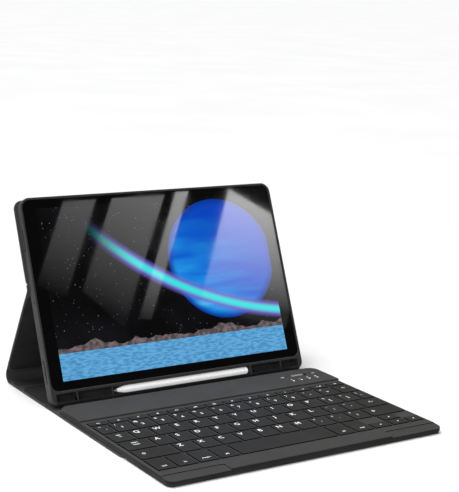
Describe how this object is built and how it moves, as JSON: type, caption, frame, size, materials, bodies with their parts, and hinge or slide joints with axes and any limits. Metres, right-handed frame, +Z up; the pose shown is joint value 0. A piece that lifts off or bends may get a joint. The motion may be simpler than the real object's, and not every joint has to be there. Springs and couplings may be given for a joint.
{
  "type": "tablet keyboard case",
  "caption": "Folio case for a large tablet: soft tray with pen channel, folding leather stand and panels, and a lift-off magnetic keyboard.",
  "frame": {"origin": "centre of the outline on the surface the open case lies on", "axes": "+X to the typist's right, +Y away from the typist, +Z up"},
  "size_m": [0.2624, 0.2864, 0.1693],
  "materials": {
    "leather": "fine-grained charcoal synthetic leather",
    "board": "grey-brown pressed board",
    "microfibre": "soft charcoal microfibre",
    "steel_magnet": "nickel-plated",
    "soft_shell": "matte soft TPU",
    "tablet_metal": "satin dark grey anodised",
    "screen": "polished black glass with a lit picture",
    "lens": "polished dark lens",
    "pen_white": "satin white",
    "pen_nib": "pale grey rubbery tip",
    "base_plastic": "fine matte black",
    "deck_plastic": "fine matte charcoal",
    "key_plastic": "matte black with white legends",
    "plate_steel": "plain stamped sheet",
    "mat_rubber": "translucent grey silicone",
    "cell": "silvery foil pouch",
    "board_green": "green solder mask",
    "port_steel": "drawn steel shell",
    "lens_white": "small white light windows",
    "screw_steel": "zinc plated",
    "rail_rubber": "matte anti-slip rubber",
    "switch_plastic": "matte black"
  },
  "bodies": {
    "front_panel": {"main_skin": "leather", "main_board": "board", "main_lining": "microfibre", "panel_magnets": "steel_magnet", "groove_fold": "leather"},
    "strip": {"strip_skin": "leather", "strip_board": "board", "strip_lining": "microfibre", "spine_fold": "leather"},
    "spine": {"spine_skin": "leather", "spine_board": "board", "spine_lining": "microfibre", "rear_fold": "leather"},
    "stand": {"stand_skin": "leather", "stand_board": "board", "stand_lining": "microfibre", "back_fold": "leather"},
    "tray": {"back_skin": "leather", "back_board": "board", "tray_shell": "soft_shell"},
    "tablet": {"tablet_body": "tablet_metal", "tablet_glass": "screen", "camera_lens": "lens"},
    "pen": {"pen_barrel": "pen_white", "pen_tip": "pen_nib"},
    "keyboard": {"keyboard_base": "base_plastic", "keyboard_deck": "deck_plastic", "key_plate": "plate_steel", "key_mat": "mat_rubber", "keyboard_magnets": "steel_magnet", "battery": "cell", "circuit_board": "board_green", "charge_port": "port_steel", "status_lenses": "lens_white", "base_screws": "screw_steel", "rubber_rail": "rail_rubber"},
    "power_switch": {"power_switch": "switch_plastic"},
    "function_keys": {"function_keys": "key_plastic"},
    "number_keys": {"number_keys": "key_plastic"},
    "backspace_key": {"backspace_key": "key_plastic"},
    "tab_key": {"tab_key": "key_plastic"},
    "top_letter_keys": {"top_letter_keys": "key_plastic"},
    "caps_key": {"caps_key": "key_plastic"},
    "home_letter_keys": {"home_letter_keys": "key_plastic"},
    "enter_key": {"enter_key": "key_plastic"},
    "left_shift_key": {"left_shift_key": "key_plastic"},
    "bottom_letter_keys": {"bottom_letter_keys": "key_plastic"},
    "right_shift_key": {"right_shift_key": "key_plastic"},
    "modifier_keys": {"modifier_keys": "key_plastic"},
    "space_bar": {"space_bar": "key_plastic"},
    "left_arrow_key": {"left_arrow_key": "key_plastic"},
    "up_arrow_key": {"up_arrow_key": "key_plastic"},
    "down_arrow_key": {"down_arrow_key": "key_plastic"},
    "right_arrow_key": {"right_arrow_key": "key_plastic"}
  },
  "joints": [
    {"name": "groove_hinge", "type": "hinge", "parent": "front_panel", "child": "strip", "pos_m": [0, 0.04627, 0.00025], "axis": [1, 0, 0], "range_deg": [0, 70], "deforming": ["groove_fold"]},
    {"name": "spine_hinge", "type": "hinge", "parent": "strip", "child": "spine", "pos_m": [0, 0.11543, 0.00025], "axis": [1, 0, 0], "range_deg": [-90, 0], "deforming": ["spine_fold"]},
    {"name": "stand_hinge", "type": "hinge", "parent": "spine", "child": "stand", "pos_m": [0, 0.14341, 0.00276], "axis": [1, 0, 0], "range_deg": [-117.5, 0], "deforming": ["rear_fold"]},
    {"name": "back_crease", "type": "hinge", "parent": "stand", "child": "tray", "pos_m": [0, 0.09961, 0.09234], "axis": [1, 0, 0], "range_deg": [0, 50.71], "deforming": ["back_fold"]},
    {"name": "tablet_out", "type": "slide", "parent": "tray", "child": "tablet", "axis": [0, 0.9191, -0.3939], "range_m": [-0.06, 0]},
    {"name": "pen_out", "type": "slide", "parent": "tray", "child": "pen", "axis": [0, 0.9191, -0.3939], "range_m": [-0.06, 0]},
    {"name": "keyboard_lift", "type": "slide", "parent": "front_panel", "child": "keyboard", "axis": [0, 0, -1], "range_m": [-0.06, 0]},
    {"name": "power_slide", "type": "slide", "parent": "keyboard", "child": "power_switch", "axis": [1, 0, 0], "range_m": [0, 0.004]},
    {"name": "function_keys_press", "type": "slide", "parent": "keyboard", "child": "function_keys", "axis": [0, 0, 1], "range_m": [-0.0013, 0], "stiffness_N_per_m": 450, "springref_m": 0.0004},
    {"name": "number_keys_press", "type": "slide", "parent": "keyboard", "child": "number_keys", "axis": [0, 0, 1], "range_m": [-0.0013, 0], "stiffness_N_per_m": 450, "springref_m": 0.0004},
    {"name": "backspace_key_press", "type": "slide", "parent": "keyboard", "child": "backspace_key", "axis": [0, 0, 1], "range_m": [-0.0013, 0], "stiffness_N_per_m": 450, "springref_m": 0.0004},
    {"name": "tab_key_press", "type": "slide", "parent": "keyboard", "child": "tab_key", "axis": [0, 0, 1], "range_m": [-0.0013, 0], "stiffness_N_per_m": 450, "springref_m": 0.0004},
    {"name": "top_letter_keys_press", "type": "slide", "parent": "keyboard", "child": "top_letter_keys", "axis": [0, 0, 1], "range_m": [-0.0013, 0], "stiffness_N_per_m": 450, "springref_m": 0.0004},
    {"name": "caps_key_press", "type": "slide", "parent": "keyboard", "child": "caps_key", "axis": [0, 0, 1], "range_m": [-0.0013, 0], "stiffness_N_per_m": 450, "springref_m": 0.0004},
    {"name": "home_letter_keys_press", "type": "slide", "parent": "keyboard", "child": "home_letter_keys", "axis": [0, 0, 1], "range_m": [-0.0013, 0], "stiffness_N_per_m": 450, "springref_m": 0.0004},
    {"name": "enter_key_press", "type": "slide", "parent": "keyboard", "child": "enter_key", "axis": [0, 0, 1], "range_m": [-0.0013, 0], "stiffness_N_per_m": 450, "springref_m": 0.0004},
    {"name": "left_shift_key_press", "type": "slide", "parent": "keyboard", "child": "left_shift_key", "axis": [0, 0, 1], "range_m": [-0.0013, 0], "stiffness_N_per_m": 450, "springref_m": 0.0004},
    {"name": "bottom_letter_keys_press", "type": "slide", "parent": "keyboard", "child": "bottom_letter_keys", "axis": [0, 0, 1], "range_m": [-0.0013, 0], "stiffness_N_per_m": 450, "springref_m": 0.0004},
    {"name": "right_shift_key_press", "type": "slide", "parent": "keyboard", "child": "right_shift_key", "axis": [0, 0, 1], "range_m": [-0.0013, 0], "stiffness_N_per_m": 450, "springref_m": 0.0004},
    {"name": "modifier_keys_press", "type": "slide", "parent": "keyboard", "child": "modifier_keys", "axis": [0, 0, 1], "range_m": [-0.0013, 0], "stiffness_N_per_m": 450, "springref_m": 0.0004},
    {"name": "space_bar_press", "type": "slide", "parent": "keyboard", "child": "space_bar", "axis": [0, 0, 1], "range_m": [-0.0013, 0], "stiffness_N_per_m": 450, "springref_m": 0.0004},
    {"name": "left_arrow_key_press", "type": "slide", "parent": "keyboard", "child": "left_arrow_key", "axis": [0, 0, 1], "range_m": [-0.0013, 0], "stiffness_N_per_m": 450, "springref_m": 0.0004},
    {"name": "up_arrow_key_press", "type": "slide", "parent": "keyboard", "child": "up_arrow_key", "axis": [0, 0, 1], "range_m": [-0.0013, 0], "stiffness_N_per_m": 450, "springref_m": 0.0004},
    {"name": "down_arrow_key_press", "type": "slide", "parent": "keyboard", "child": "down_arrow_key", "axis": [0, 0, 1], "range_m": [-0.0013, 0], "stiffness_N_per_m": 450, "springref_m": 0.0004},
    {"name": "right_arrow_key_press", "type": "slide", "parent": "keyboard", "child": "right_arrow_key", "axis": [0, 0, 1], "range_m": [-0.0013, 0], "stiffness_N_per_m": 450, "springref_m": 0.0004}
  ],
  "couplings": [
    {"joint": "back_crease", "follows": "stand_hinge", "ratio": -0.43149}
  ]
}
